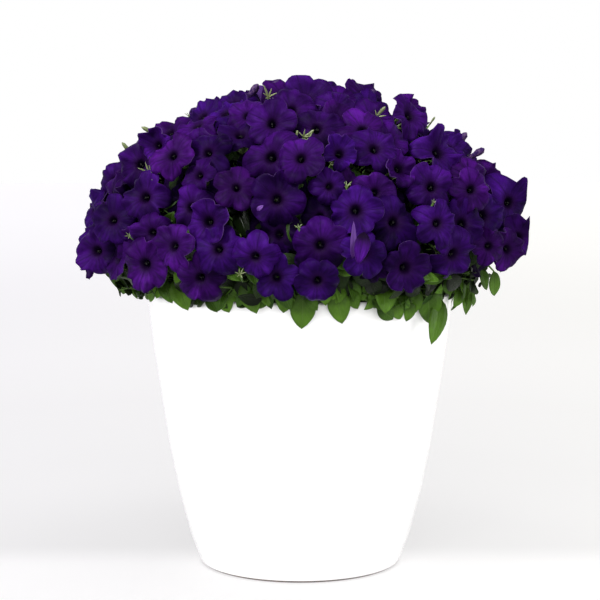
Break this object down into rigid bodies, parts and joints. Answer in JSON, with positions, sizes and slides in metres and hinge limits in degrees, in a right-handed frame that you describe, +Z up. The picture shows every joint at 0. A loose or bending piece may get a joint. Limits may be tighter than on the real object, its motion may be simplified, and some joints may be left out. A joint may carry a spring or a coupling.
{
  "type": "petunias in a standing planter",
  "caption": "Dense dome of violet-blue trumpet blooms on leafy stems, planted in a tall tapered round gloss-white planter that stands on its flat base.",
  "frame": {"origin": "centre of the planter's flat base, on the floor", "axes": "+Z up along the planter's axis; the side seen in the picture faces -Y"},
  "size_m": [0.5163, 0.5171, 0.5557],
  "materials": {
    "planter_gloss": "high gloss",
    "soil": "matte",
    "petals": "soft satin",
    "foliage": "soft matte"
  },
  "bodies": {
    "root": {"planter": "planter_gloss", "potting_soil": "soil", "flowering_stem_01": "petals", "flowering_stem_02": "petals", "flowering_stem_03": "petals", "flowering_stem_04": "petals", "flowering_stem_05": "petals", "flowering_stem_06": "petals", "flowering_stem_07": "petals", "flowering_stem_08": "petals", "flowering_stem_09": "petals", "flowering_stem_10": "petals", "flowering_stem_11": "petals", "flowering_stem_12": "petals", "flowering_stem_13": "petals", "flowering_stem_14": "petals", "flowering_stem_15": "petals", "flowering_stem_16": "petals", "flowering_stem_17": "petals", "flowering_stem_18": "petals", "flowering_stem_19": "petals", "flowering_stem_20": "petals", "flowering_stem_21": "petals", "flowering_stem_22": "petals", "flowering_stem_23": "petals", "flowering_stem_24": "petals", "flowering_stem_25": "petals", "flowering_stem_26": "petals", "flowering_stem_27": "petals", "flowering_stem_28": "petals", "flowering_stem_29": "petals", "flowering_stem_30": "petals"}
  },
  "joints": []
}
